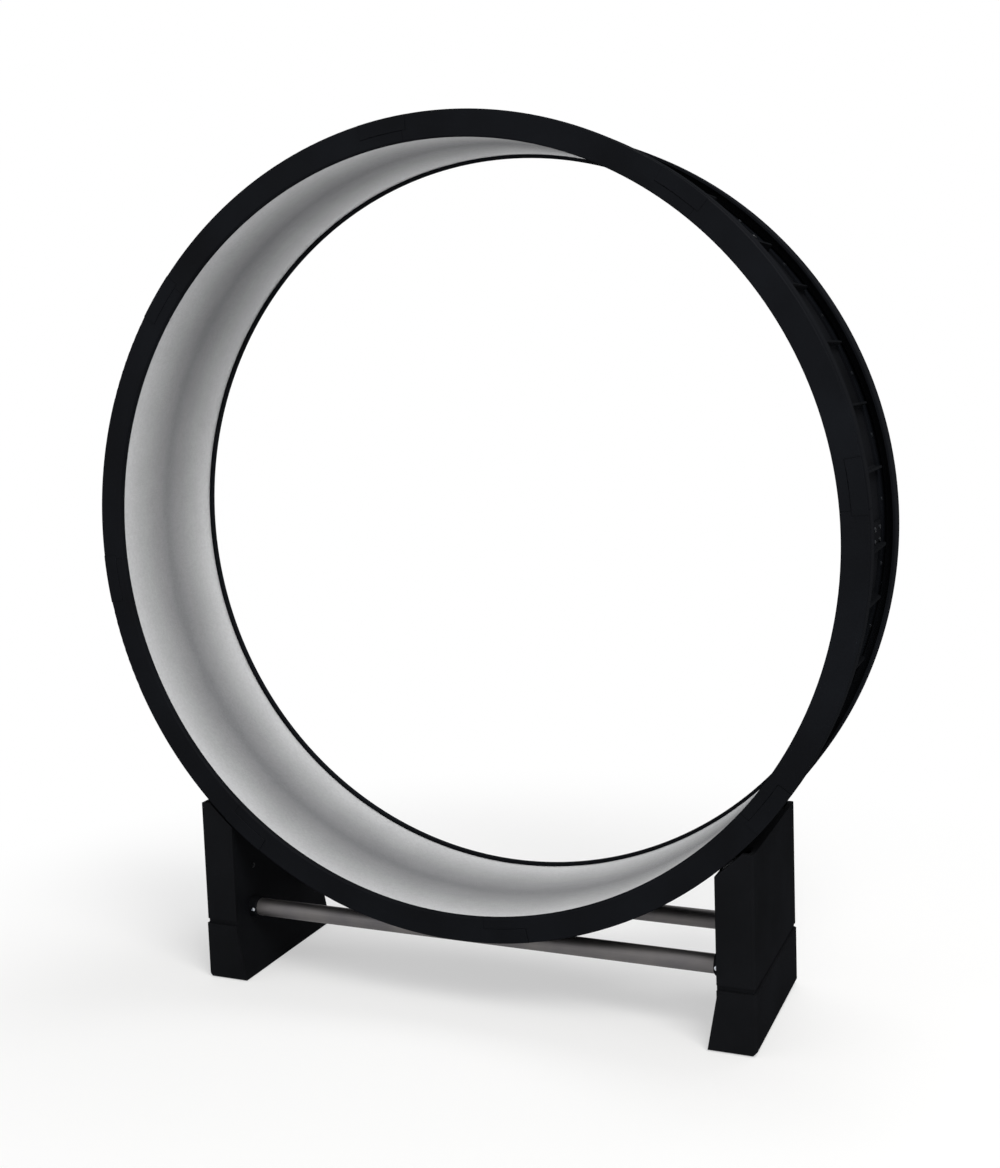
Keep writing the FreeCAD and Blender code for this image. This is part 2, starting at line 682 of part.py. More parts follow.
def roller_axle():
    rod = along_y(axle_radius, (-axle_half_length, axle_half_length), axle_x, axle_height)
    for side in (-1, 1):
        groove = sorted((side * clip_y, side * (clip_y + clip_thickness + 2 * clip_gap)))
        rod = rod.cut(ring(2 * axle_radius, axle_radius - clip_groove_depth, groove))
    return rod


def axle_clip(side):
    """C-shaped clip in the groove at one end of the axle."""
    y_range = sorted((side * (clip_y + clip_gap), side * (clip_y + clip_gap + clip_thickness)))
    clip = ring(clip_radius, axle_radius - clip_groove_depth + screw_gap, y_range)
    mouth_x = (axle_x - clip_mouth_width / 2, axle_x + clip_mouth_width / 2)
    return clip.cut(box(mouth_x, y_range, (axle_height - 2 * clip_radius, axle_height)))


def bearings_and_spacers():
    """Two bearings in each roller of the right leg, and a spacer between each and its cheek."""
    bearings = []
    spacers = []
    for centre in (-roller_y, roller_y):
        for side in (-1, 1):
            face = centre + side * roller_width / 2
            bearings.append(ring(bearing_outer_radius, axle_radius + axle_fit,
                                 sorted((face, face - side * bearing_width))))
            start = face + side * spacer_end_gap
            spacers.append(ring(spacer_radius, axle_radius + axle_fit,
                                sorted((start, start + side * spacer_width))))
    return bearings, spacers


def roller_hub(centre):
    """Hub of a roller of the right leg, with a seat for a bearing at each end."""
    low, high = centre - roller_width / 2, centre + roller_width / 2
    hub = ring(roller_radius - tyre_thickness, hub_waist_radius, (low, high))
    seat_radius = bearing_outer_radius + bearing_fit
    seat_depth = bearing_width + spacer_end_gap
    seats = [along_y(seat_radius, (low - overcut, low + seat_depth), axle_x, axle_height),
             along_y(seat_radius, (high - seat_depth, high + overcut), axle_x, axle_height)]
    return hub.cut(seats)


def roller_tyre(centre):
    low, high = centre - roller_width / 2, centre + roller_width / 2
    solid = along_y(roller_radius, (low, high), axle_x, axle_height)
    rims = [edge for edge in solid.Edges if isinstance(edge.Curve, Part.Circle)]
    solid = solid.makeFillet(tyre_edge_radius, rims)
    return solid.cut(along_y(roller_radius - tyre_thickness + tyre_fit, (low, high), axle_x, axle_height))


def socket_screws():
    screw = pan_screw(socket_screw_head_radius, socket_screw_head_height, socket_screw_radius,
                      socket_screw_length)
    screws = []
    for side in (-1, 1):
        seat = side * (tube_y + socket_flat_reach + screw_gap)
        screws.append(point_screw(screw, Vector(socket_screw_x, seat, tube_height), Vector(0, side, 0)))
    return screws


def cover_screws():
    length = cover_thickness + cover_screw_grip - cover_screw_tip_gap
    screw = pan_screw(case_screw_head_radius, case_screw_head_height, case_screw_radius, length)
    return [point_screw(screw, Vector(leg_inner_x - screw_gap, y, z), Vector(-1, 0, 0))
            for y, z in cover_screw_places()]


def bracket_screws():
    length = sheet_thickness + bracket_screw_depth
    screw = pan_screw(case_screw_head_radius, case_screw_head_height, case_screw_radius, length)
    seat_x = upper_inside_x - sheet_thickness - screw_gap
    return [point_screw(screw, Vector(seat_x, y, z), Vector(-1, 0, 0)) for y, z in bracket_screw_places()]


def base_screws():
    length = column_cap + base_screw_grip
    screw = pan_screw(base_screw_head_radius, base_screw_head_height, base_screw_radius, length)
    seat_z = seam_height - column_cap - screw_gap
    return [point_screw(screw, Vector(column_x, side * base_screw_y, seat_z), Vector(0, 0, -1))
            for side in (-1, 1)]


def stand_parts():
    parts = {}
    for name, shape in (("leg_shell", leg_shell()), ("leg_cover", leg_cover()), ("leg_base", leg_base()),
                        ("roller_bracket", roller_bracket()), ("roller_axle", roller_axle())):
        parts[f"{name}_right"] = shape
        parts[f"{name}_left"] = mirrored(shape)
    parts["tube_front"] = tube(-1)
    parts["tube_rear"] = tube(1)

    bearings, spacers = bearings_and_spacers()
    groups = {
        "rubber_feet": [foot_box(side, 0) for side in (-1, 1)],
        "base_screws": base_screws(),
        "cover_screws": cover_screws(),
        "socket_screws": socket_screws(),
        "bracket_screws": bracket_screws(),
        "axle_clips": [axle_clip(side) for side in (-1, 1)],
        "axle_spacers": spacers,
        "roller_bearings": bearings,
    }
    for name, shapes in groups.items():
        parts[name] = Part.makeCompound(both_sides(shapes))
    return parts


def roller_parts():
    parts = {}
    for place, centre in (("front", -roller_y), ("rear", roller_y)):
        for name, shape in (("hub", roller_hub(centre)), ("tyre", roller_tyre(centre))):
            parts[f"roller_{name}_right_{place}"] = shape
            parts[f"roller_{name}_left_{place}"] = mirrored(shape)
    return parts


all_parts = {**wheel_parts(), **stand_parts(), **roller_parts()}
for node, shape in all_parts.items():
    sound = all(solid.isValid() for solid in shape.Solids)
    print(f"{node:26s} solids {len(shape.Solids):3d}  volume {shape.Volume / 1000:9.2f} cm3  sound {sound}")
    shape.exportStep(f"parts/{node}.step")
whole = Part.makeCompound(list(all_parts.values())).BoundBox
print(f"{len(all_parts)} nodes, {whole.XLength:.1f} x {whole.YLength:.1f} x {whole.ZLength:.1f} mm")
print(f"axle at x {axle_x:.3f}, z {axle_height:.3f}; wheel centre at z {wheel_height:.3f}")
print(f"leg top at z {leg_top:.2f}, seam at z {seam_height:.2f}")
print(f"tubes at y {tube_y:.2f}, z {tube_height:.2f}")
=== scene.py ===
# %% [markdown]
# # A running wheel, dressed over its frame
#
# The frame holds every rigid piece at its real size: two black rings, a ribbed skin between them, two legs
# with rollers inside, and two tubes. This lesson gives each piece the finish that it has on the real
# object, and makes the pieces that CAD leaves plain: the felt mat, the ribbed skin and the screw heads.

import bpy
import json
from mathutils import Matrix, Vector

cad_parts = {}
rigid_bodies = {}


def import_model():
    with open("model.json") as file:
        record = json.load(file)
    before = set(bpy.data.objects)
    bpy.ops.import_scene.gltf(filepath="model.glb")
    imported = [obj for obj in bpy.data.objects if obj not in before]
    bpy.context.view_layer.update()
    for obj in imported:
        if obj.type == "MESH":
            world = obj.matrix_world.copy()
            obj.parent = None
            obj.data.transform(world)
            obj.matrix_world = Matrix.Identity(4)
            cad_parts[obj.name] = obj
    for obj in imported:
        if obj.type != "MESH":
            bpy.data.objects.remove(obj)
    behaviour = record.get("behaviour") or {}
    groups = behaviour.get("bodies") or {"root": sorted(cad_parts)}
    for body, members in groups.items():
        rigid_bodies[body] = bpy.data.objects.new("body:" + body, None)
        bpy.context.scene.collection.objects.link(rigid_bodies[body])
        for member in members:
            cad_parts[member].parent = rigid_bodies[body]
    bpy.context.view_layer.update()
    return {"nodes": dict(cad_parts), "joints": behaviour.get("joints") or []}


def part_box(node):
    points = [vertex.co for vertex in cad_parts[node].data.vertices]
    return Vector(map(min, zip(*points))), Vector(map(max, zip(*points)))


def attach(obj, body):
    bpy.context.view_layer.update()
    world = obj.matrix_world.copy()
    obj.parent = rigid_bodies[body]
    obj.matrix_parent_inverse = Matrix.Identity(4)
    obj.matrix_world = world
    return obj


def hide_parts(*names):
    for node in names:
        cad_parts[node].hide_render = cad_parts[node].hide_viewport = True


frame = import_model()

# %% Tools and units
import json
import math

import bmesh
import bpy
from mathutils import Matrix, Vector

MM = 0.001
scene = bpy.context.scene
nodes = frame["nodes"]

# %% [markdown]
# The wheel turns about one level axis, and nearly everything on it is measured from there. So the first
# helper reads a node's radii, width and angles about that axis. Angles count from +X towards +Z, which is
# anticlockwise to someone in front of the wheel.

# %% Where the wheel is
spin = next(joint for joint in frame["joints"] if joint["name"] == "wheel_spin")
axle = Vector(spin["pos_m"])


def around_axle(node):
    """Radii, half width, and first and last angle of a node, measured about the wheel's axis."""
    points = [vertex.co - axle for vertex in nodes[node].data.vertices]
    middle = sum((Vector((p.x, 0, p.z)).normalized() for p in points), Vector())
    centre = math.atan2(middle.z, middle.x)
    turns = [math.remainder(math.atan2(p.z, p.x) - centre, math.tau) for p in points]
    radii = [math.hypot(p.x, p.z) for p in points]
    return {
        "inner": min(radii),
        "outer": max(radii),
        "half": max(abs(p.y) for p in points),
        "start": centre + min(turns),
        "end": centre + max(turns),
    }


rim = around_axle("rim_front_1")
print(f"wheel: {2 * rim['outer'] / MM:.0f} mm across, axle {axle.z / MM:.0f} mm above the floor")

# %% [markdown]
# Colours are written as sRGB hex values, as a picture shows them. The renderer adds up light, so it wants
# linear values, and one function converts them. A second one turns a real size in millimetres into the
# scale of a pattern on Object coordinates, which count metres. A third adds a node to any tree.

# %% Colours, pattern sizes and nodes
def linear(hex_colour):
    """Linear colour of an sRGB hex value."""
    channels = [int(hex_colour[i:i + 2], 16) / 255 for i in (1, 3, 5)]
    return [c / 12.92 if c <= 0.04045 else ((c + 0.055) / 1.055) ** 2.4 for c in channels] + [1]


def per_metre(size_mm):
    """Scale that makes a pattern repeat about once in so many millimetres."""
    return 1000 / size_mm


def add(tree, kind, inputs=None, **options):
    """Adds a node. Inputs go by name or number, and each is a value, a socket or a node to link from."""
    node = tree.nodes.new(kind)
    for option, value in options.items():
        setattr(node, option, value)
    for key, value in (inputs or {}).items():
        if isinstance(key, str):
            socket = next(s for s in node.inputs if s.enabled and s.name == key)
        else:
            socket = node.inputs[key]
        if isinstance(value, bpy.types.Node):
            value = next(s for s in value.outputs if s.enabled)
        if isinstance(value, bpy.types.NodeSocket):
            tree.links.new(value, socket)
        else:
            socket.default_value = value
    return node


def empty_material(name):
    material = bpy.data.materials.new(name)
    material.use_nodes = True
    material.node_tree.nodes.clear()
    return material


# A noise seldom leaves this range, so a pattern spreads it over the values that it needs.
noise_low, noise_high = 0.3, 0.7
print("mid grey, linear:", [round(c, 4) for c in linear("#808080")[:3]])

# %% [markdown]
# ## The camera
#
# The photograph was taken a little to the right of the wheel and from just above its axle, with the camera
# tilted about two degrees. Its place, angles and lens were fitted to the outlines of the ring and the
# legs.

# %% Camera
camera_place = Vector((0.9179, -2.1024, 0.9622))
azimuth, elevation, roll = (math.radians(angle) for angle in (23.586, 5.918, -2.11))
back = Vector((math.sin(azimuth) * math.cos(elevation), -math.cos(azimuth) * math.cos(elevation),
               math.sin(elevation)))
level = Vector((math.cos(azimuth), math.sin(azimuth), 0))
upright = back.cross(level)
right = level * math.cos(roll) + upright * math.sin(roll)
up = upright * math.cos(roll) - level * math.sin(roll)

camera_data = bpy.data.cameras.new("Camera")
camera_data.lens = 46.07
camera_data.shift_x = 0.0168
camera_data.shift_y = -0.0486
camera = bpy.data.objects.new("Camera", camera_data)
camera.matrix_world = Matrix.Translation(camera_place) @ Matrix((right, up, back)).transposed().to_4x4()
scene.collection.objects.link(camera)
scene.camera = camera
scene.view_settings.view_transform = "Standard"
print(f"camera {(camera_place - axle).length:.2f} m from the axle")

# %% [markdown]
# ## The studio
#
# A white sweep and big soft lamps. The background must be white without flooding the black plastic with
# light, so the world is white only to rays that look at it directly or in a reflection, and dim to the
# rays that light the object. The floor is pale matt paint, which takes the soft shadow that the wheel
# stands on. Near the wheel the background veils half of it, and further out it fades into that same white.

# %% World
def looking_rays(tree):
    """1 for rays that look at a thing directly, in a reflection or through glass, and 0 for the rest."""
    rays = add(tree, "ShaderNodeLightPath")
    mirrored = add(tree, "ShaderNodeMath", {0: rays.outputs["Is Glossy Ray"],
                                            1: rays.outputs["Is Transmission Ray"]},
                   operation="MAXIMUM")
    return add(tree, "ShaderNodeMath", {0: rays.outputs["Is Camera Ray"], 1: mirrored},
               operation="MAXIMUM")


ambient = 0.45
world = bpy.data.worlds.new("Studio")
world.use_nodes = True
world.node_tree.nodes.clear()
scene.world = world
tree = world.node_tree
strength = add(tree, "ShaderNodeMath", {0: looking_rays(tree), 1: 1 - ambient, 2: ambient},
               operation="MULTIPLY_ADD")
white = add(tree, "ShaderNodeBackground", {"Color": linear("#ffffff"), "Strength": strength})
add(tree, "ShaderNodeOutputWorld", {"Surface": white})
print("ambient level", ambient)

# %% Floor
floor_paint = "#f4f4f4"
floor_size = 40.0


def studio_floor(clear_radius, fade_radius, veil):
    """Pale paint with a share of background over it, which grows to all of it between two radii."""
    material = empty_material("white_studio_floor")
    tree = material.node_tree
    place = add(tree, "ShaderNodeTexCoord")
    distance = add(tree, "ShaderNodeVectorMath", {0: place.outputs["Object"]}, operation="LENGTH")
    far = add(tree, "ShaderNodeMapRange", {"Value": distance.outputs["Value"], "From Min": clear_radius,
                                           "From Max": fade_radius, "To Min": veil},
              interpolation_type="SMOOTHSTEP")
    share = add(tree, "ShaderNodeMath", {0: far, 1: looking_rays(tree)}, operation="MULTIPLY")
    paint = add(tree, "ShaderNodeBsdfDiffuse", {"Color": linear(floor_paint)})
    glow = add(tree, "ShaderNodeEmission", {"Color": linear("#ffffff"), "Strength": 1.0})
    mix = add(tree, "ShaderNodeMixShader", {0: share, 1: paint, 2: glow})
    add(tree, "ShaderNodeOutputMaterial", {"Surface": mix})
    return material


bpy.ops.mesh.primitive_plane_add(size=floor_size)
floor = bpy.context.object
floor.name = "floor"
floor.data.materials.append(studio_floor(clear_radius=0.55, fade_radius=1.3, veil=0.5))
print("floor", floor_size, "m square")

# %% Lamps
def softbox(name, place, size, watts, colour):
    """Square lamp that faces the middle of the wheel."""
    lamp = bpy.data.lights.new(name, "AREA")
    lamp.size = size
    lamp.energy = watts
    lamp.color = linear(colour)[:3]
    box = bpy.data.objects.new(name, lamp)
    box.location = place
    box.rotation_euler = (Vector(place) - axle).to_track_quat("Z", "Y").to_euler()
    scene.collection.objects.link(box)


softbox("key", (2.0, -1.9, 3.5), size=1.8, watts=118, colour="#fffefb")
softbox("fill", (-2.9, -2.7, 1.7), size=2.6, watts=16, colour="#fbfdff")
softbox("top", (0.6, 1.4, 3.7), size=2.2, watts=40, colour="#ffffff")
print("3 lamps")

# %% [markdown]
# ## Plastics
#
# The rings, the skin and the legs are ABS, moulded against a spark-eroded tool. That tool leaves a fine,
# even pebble grain, which breaks up reflections: the black stays deep, and lamps show only as broad, faint
# sheens. The real grain is about 0.3 mm, too fine for a picture of the whole wheel, so it is drawn at 1.2
# mm. The grain also shades itself at low angles, so its sheen doesn't grow towards the edges as a smooth
# sheet's does. A small fixed share of gloss over a dull black body gives that.

# %% Sheen of grained plastic
sheen_share = 0.004


def grained_black(tree, colour, gloss, bump):
    """Dull black body with a faint, even sheen."""
    body = add(tree, "ShaderNodeBsdfPrincipled", {"Base Color": colour, "Roughness": 1.0, "Normal": bump,
                                                  "Specular IOR Level": 0.0})
    sheen = add(tree, "ShaderNodeBsdfGlossy", {"Roughness": gloss, "Normal": bump})
    both = add(tree, "ShaderNodeMixShader", {0: sheen_share, 1: body, 2: sheen})
    add(tree, "ShaderNodeOutputMaterial", {"Surface": both})


print("gloss over body:", sheen_share)

# %% Black moulded ABS
grain_mm = 1.2
grain_depth = 0.15 * MM
grain_strength = 0.25
leg_flow_mm = 140
dust_speck_mm = 5
dust_grey = "#6d6c69"
dusty_slope = 0.6
pale_black = "#121316"


def moulded_abs(name, shade, dust_share):
    """Black ABS with a pebble grain, faint flow marks and, on faces that look up, a little dust."""
    material = empty_material(name)
    tree = material.node_tree
    place = add(tree, "ShaderNodeTexCoord")
    grain = add(tree, "ShaderNodeTexNoise", {"Vector": place.outputs["Object"],
                                             "Scale": per_metre(grain_mm), "Detail": 3.0,
                                             "Roughness": 0.6})
    flow = add(tree, "ShaderNodeTexNoise", {"Vector": place.outputs["Object"],
                                            "Scale": per_metre(leg_flow_mm), "Detail": 4.0,
                                            "Roughness": 0.55})
    specks = add(tree, "ShaderNodeTexNoise", {"Vector": place.outputs["Object"],
                                              "Scale": per_metre(dust_speck_mm), "Detail": 6.0,
                                              "Roughness": 0.7})
    tone = add(tree, "ShaderNodeValToRGB", {"Fac": flow})
    tone.color_ramp.elements[0].position = 0.3
    tone.color_ramp.elements[0].color = linear(shade)
    tone.color_ramp.elements[1].position = 0.75
    tone.color_ramp.elements[1].color = linear(pale_black)
    facing = add(tree, "ShaderNodeSeparateXYZ", {0: place.outputs["Normal"]})
    upward = add(tree, "ShaderNodeMapRange", {"Value": facing.outputs["Z"], "From Min": dusty_slope,
                                              "From Max": 1.0, "To Max": dust_share})
    settled = add(tree, "ShaderNodeMath", {0: upward, 1: specks}, operation="MULTIPLY")
    colour = add(tree, "ShaderNodeMix", {"Factor": settled, "A": tone, "B": linear(dust_grey)},
                 data_type="RGBA")
    gloss = add(tree, "ShaderNodeMapRange", {"Value": flow, "From Min": noise_low, "From Max": noise_high,
                                             "To Min": 0.46, "To Max": 0.58})
    bump = add(tree, "ShaderNodeBump", {"Height": grain, "Strength": grain_strength,
                                        "Distance": grain_depth})
    grained_black(tree, colour, gloss, bump)
    return material


leg_abs = moulded_abs("black_abs_leg", "#0a0b0d", dust_share=0.03)
skin_abs = moulded_abs("black_abs_tread", "#090a0c", dust_share=0.0)
print("legs and tread:", leg_abs.name, skin_abs.name)

# %% [markdown]
# The rings are the same plastic, but four soft tyres roll round their outer bands. Years of that polish a
# stripe as wide as a tyre, and leave faint scratches that run round the wheel, so the band shines a little
# more than the grained faces. The stripe is found from the distance to the axle and the place across the
# width, so it follows the ring wherever it turns. Real scratches are hair-thin, and are drawn 0.9 mm
# apart.

# %% Ring plastic with polished tracks
tyre_low, tyre_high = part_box("roller_tyre_right_front")
track_middle = abs(tyre_low.y + tyre_high.y) / 2
track_half = (tyre_high.y - tyre_low.y) / 2
track_blend = 1.5 * MM
scratch_mm = 0.9
ring_flow_mm = 160


def ring_abs():
    """Black ABS, grained all over apart from two stripes that the tyres have polished."""
    material = empty_material("black_abs_ring_polished_tracks")
    tree = material.node_tree
    place = add(tree, "ShaderNodeTexCoord")
    hub = add(tree, "ShaderNodeVectorMath", {0: place.outputs["Object"], 1: axle}, operation="SUBTRACT")
    parts = add(tree, "ShaderNodeSeparateXYZ", {0: hub})
    spoke = add(tree, "ShaderNodeCombineXYZ", {0: parts.outputs["X"], 1: 0.0, 2: parts.outputs["Z"]})
    radius = add(tree, "ShaderNodeVectorMath", {0: spoke}, operation="LENGTH")
    across = add(tree, "ShaderNodeMath", {0: parts.outputs["Y"]}, operation="ABSOLUTE")
    off_track = add(tree, "ShaderNodeMath", {0: across, 1: track_middle}, operation="SUBTRACT")
    off_track = add(tree, "ShaderNodeMath", {0: off_track}, operation="ABSOLUTE")
    stripe = add(tree, "ShaderNodeMapRange", {"Value": off_track, "From Min": track_half + track_blend,
                                              "From Max": track_half - track_blend})
    outside = add(tree, "ShaderNodeMapRange", {"Value": radius.outputs["Value"],
                                               "From Min": rim["outer"] - track_blend,
                                               "From Max": rim["outer"] - 0.5 * MM})
    polished = add(tree, "ShaderNodeMath", {0: stripe, 1: outside}, operation="MULTIPLY")

    lathe = add(tree, "ShaderNodeCombineXYZ", {0: radius.outputs["Value"], 1: parts.outputs["Y"], 2: 0.0})
    scratches = add(tree, "ShaderNodeTexNoise", {"Vector": lathe, "Scale": per_metre(scratch_mm),
                                                 "Detail": 2.0})
    grain = add(tree, "ShaderNodeTexNoise", {"Vector": place.outputs["Object"],
                                             "Scale": per_metre(grain_mm), "Detail": 3.0,
                                             "Roughness": 0.6})
    flow = add(tree, "ShaderNodeTexNoise", {"Vector": place.outputs["Object"],
                                            "Scale": per_metre(ring_flow_mm), "Detail": 4.0,
                                            "Roughness": 0.55})
    tone = add(tree, "ShaderNodeValToRGB", {"Fac": flow})
    tone.color_ramp.elements[0].position = 0.3
    tone.color_ramp.elements[0].color = linear("#0a0b0e")
    tone.color_ramp.elements[1].position = 0.75
    tone.color_ramp.elements[1].color = linear("#111317")
    colour = add(tree, "ShaderNodeMix", {"Factor": polished, "A": tone, "B": linear("#131417")},
                 data_type="RGBA")
    dull = add(tree, "ShaderNodeMapRange", {"Value": flow, "From Min": noise_low, "From Max": noise_high,
                                            "To Min": 0.44, "To Max": 0.56})
    shiny = add(tree, "ShaderNodeMapRange", {"Value": scratches, "From Min": 0.35, "From Max": 0.65,
                                             "To Min": 0.34, "To Max": 0.48})
    gloss = add(tree, "ShaderNodeMix", {"Factor": polished, "A": dull, "B": shiny}, data_type="FLOAT")
    height = add(tree, "ShaderNodeMix", {"Factor": polished, "A": grain, "B": scratches},
                 data_type="FLOAT")
    bump = add(tree, "ShaderNodeBump", {"Height": height, "Strength": grain_strength,
                                        "Distance": grain_depth})
    grained_black(tree, colour, gloss, bump)
    return material


wheel_abs = ring_abs()
print(f"tracks {2 * track_half / MM:.0f} mm wide, {track_middle / MM:.0f} mm off the middle")

# %% [markdown]
# ## Metals
#
# The tubes are drawn aluminium with a satin anodised skin: drawing leaves fine lines along the tube, and
# the anodising turns them soft and slightly warm. Real lines lie about 0.1 mm apart, and are drawn 1.5 mm
# apart. Screws, axles and brackets are zinc-plated steel, with the cloudy, faintly blue look of the
# plating bath. The plating on the wheel's own screws went through a black bath as well, so that they don't
# glint on the ring. The cover screws have a black oxide skin, so thin that a little of the steel's shine
# comes through.

# %% Anodised tube
drawn_line_mm = 1.5
drawn_stretch = 0.02
anodising_cloud_mm = 60


def anodised_tube():
    """Satin aluminium with soft lines along the tube."""
    material = empty_material("satin_anodised_drawn_aluminium")
    tree = material.node_tree
    place = add(tree, "ShaderNodeTexCoord")
    drawn = add(tree, "ShaderNodeMapping", {"Vector": place.outputs["Object"],
                                            "Scale": (drawn_stretch, 1.0, 1.0)})
    lines = add(tree, "ShaderNodeTexNoise", {"Vector": drawn, "Scale": per_metre(drawn_line_mm),
                                             "Detail": 4.0, "Roughness": 0.65})
    clouds = add(tree, "ShaderNodeTexNoise", {"Vector": place.outputs["Object"],
                                              "Scale": per_metre(anodising_cloud_mm), "Detail": 3.0})
    tone = add(tree, "ShaderNodeValToRGB", {"Fac": clouds})
    tone.color_ramp.elements[0].position = 0.3
    tone.color_ramp.elements[0].color = linear("#656365")
    tone.color_ramp.elements[1].position = 0.7
    tone.color_ramp.elements[1].color = linear("#73706f")
    gloss = add(tree, "ShaderNodeMapRange", {"Value": lines, "From Min": noise_low, "From Max": noise_high,
                                             "To Min": 0.48, "To Max": 0.62})
    bump = add(tree, "ShaderNodeBump", {"Height": lines, "Strength": 0.2, "Distance": 0.05 * MM})
    skin = add(tree, "ShaderNodeBsdfPrincipled", {"Base Color": tone, "Roughness": gloss, "Normal": bump,
                                                  "Metallic": 1.0})
    add(tree, "ShaderNodeOutputMaterial", {"Surface": skin})
    return material


tube_metal = anodised_tube()
print("tubes:", tube_metal.name)

# %% Plated and blackened steel
plating_cloud_mm = 6


def steel(name, light, dark, low, high):
    """Steel with a cloudy finish between two colours and two roughnesses."""
    material = empty_material(name)
    tree = material.node_tree
    place = add(tree, "ShaderNodeTexCoord")
    clouds = add(tree, "ShaderNodeTexNoise", {"Vector": place.outputs["Object"],
                                              "Scale": per_metre(plating_cloud_mm), "Detail": 5.0,
                                              "Roughness": 0.6})
    tone = add(tree, "ShaderNodeValToRGB", {"Fac": clouds})
    tone.color_ramp.elements[0].position = 0.35
    tone.color_ramp.elements[0].color = linear(dark)
    tone.color_ramp.elements[1].position = 0.65
    tone.color_ramp.elements[1].color = linear(light)
    gloss = add(tree, "ShaderNodeMapRange", {"Value": clouds, "From Min": noise_low, "From Max": noise_high,
                                             "To Min": low, "To Max": high})
    bump = add(tree, "ShaderNodeBump", {"Height": clouds, "Strength": 0.15, "Distance": 0.05 * MM})
    skin = add(tree, "ShaderNodeBsdfPrincipled", {"Base Color": tone, "Roughness": gloss, "Normal": bump,
                                                  "Metallic": 1.0})
    add(tree, "ShaderNodeOutputMaterial", {"Surface": skin})
    return material


zinc = steel("bright_zinc_plated_steel", light="#d3d7dc", dark="#a9aeb6", low=0.22, high=0.38)
black_zinc = steel("black_passivated_zinc_steel", light="#232529", dark="#131416", low=0.4, high=0.55)
black_oxide = steel("black_oxide_steel", light="#2c2e31", dark="#191a1c", low=0.35, high=0.5)
print("screws:", zinc.name, black_zinc.name, black_oxide.name)

# %% [markdown]
# The feet are moulded rubber, dead matt and nearly black, with a bloom of fine dust. The tyres are cast
# polyurethane, a smooth, slightly waxy grey that scuffs where it rolls. The hubs are moulded nylon in its
# own milky colour, which is the glossiest of the three. One recipe serves them all, since they differ in
# colour, in gloss and in how large their scuffs are.

# %% Rubber, polyurethane and nylon
def soft_polymer(name, light, dark, mottle_mm, low, high):
    """Matt rubber or plastic that has picked up fine dust and scuffs."""
    material = empty_material(name)
    tree = material.node_tree
    place = add(tree, "ShaderNodeTexCoord")
    scuffs = add(tree, "ShaderNodeTexNoise", {"Vector": place.outputs["Object"],
                                              "Scale": per_metre(mottle_mm), "Detail": 6.0,
                                              "Roughness": 0.65})
    tone = add(tree, "ShaderNodeValToRGB", {"Fac": scuffs})
    tone.color_ramp.elements[0].position = 0.4
    tone.color_ramp.elements[0].color = linear(dark)
    tone.color_ramp.elements[1].position = 0.75
    tone.color_ramp.elements[1].color = linear(light)
    gloss = add(tree, "ShaderNodeMapRange", {"Value": scuffs, "From Min": noise_low, "From Max": noise_high,
                                             "To Min": low, "To Max": high})
    bump = add(tree, "ShaderNodeBump", {"Height": scuffs, "Strength": 0.3, "Distance": 0.1 * MM})
    skin = add(tree, "ShaderNodeBsdfPrincipled", {"Base Color": tone, "Roughness": gloss, "Normal": bump,
                                                  "IOR": 1.5, "Specular IOR Level": 0.35})
    add(tree, "ShaderNodeOutputMaterial", {"Surface": skin})
    return material


foot_rubber = soft_polymer("black_moulded_rubber", "#2c2c2b", "#161616", mottle_mm=7, low=0.7, high=0.9)
tyre_pu = soft_polymer("grey_cast_polyurethane", "#5b5d60", "#47494c", mottle_mm=9, low=0.45, high=0.65)
hub_nylon = soft_polymer("natural_moulded_nylon", "#d9d5c8", "#c9c5b7", mottle_mm=14, low=0.4, high=0.5)
print("rollers:", tyre_pu.name, hub_nylon.name)

# %% [markdown]
# ## Dressing the frame
#
# Each material of the frame has a name in the record, and every CAD node that stays visible gets the
# finish that stands for that name. The rings get their own, with the tracks. The frame's plain mat is
# replaced further on by felt strips, so here it only takes the skin's finish.

# %% Dress the CAD nodes
finish_of = {
    "wheel_plastic": skin_abs,
    "leg_plastic": leg_abs,
    "tube_metal": tube_metal,
    "zinc_steel": zinc,
    "black_steel": black_oxide,
    "hub_nylon": hub_nylon,
    "roller_tyre": tyre_pu,
    "foot_rubber": foot_rubber,
    "mat_felt": skin_abs,
}
for name, node in nodes.items():
    for material_slot in node.material_slots:
        material_slot.material = finish_of[material_slot.material.name]
    if name.startswith(("rim_front", "rim_back")):
        node.material_slots[0].material = wheel_abs
print("dressed", len(nodes), "nodes")

# %% [markdown]
# ## Growing pieces by rule
#
# A mat strip is one section carried round an arc, a skin panel is a sheet with equal ribs, and screws are
# one shape at many places. Geometry Nodes suit all three: the rule is built once as a tree with named
# sizes. Its result is then kept as a plain mesh, so that it can ride on the wheel like any other piece.

# %% Trees with named inputs
SOCKETS = {float: "NodeSocketFloat", int: "NodeSocketInt", bpy.types.Material: "NodeSocketMaterial"}
crease_degrees = 35


def new_tree(name, sizes):
    """Geometry tree with one named input for each size, and its first and last nodes."""
    tree = bpy.data.node_groups.new(name, "GeometryNodeTree")
    tree.interface.new_socket("Geometry", in_out="INPUT", socket_type="NodeSocketGeometry")
    tree.interface.new_socket("Geometry", in_out="OUTPUT", socket_type="NodeSocketGeometry")
    for size, value in sizes.items():
        tree.interface.new_socket(size, in_out="INPUT", socket_type=SOCKETS[type(value)])
    return tree, add(tree, "NodeGroupInput")


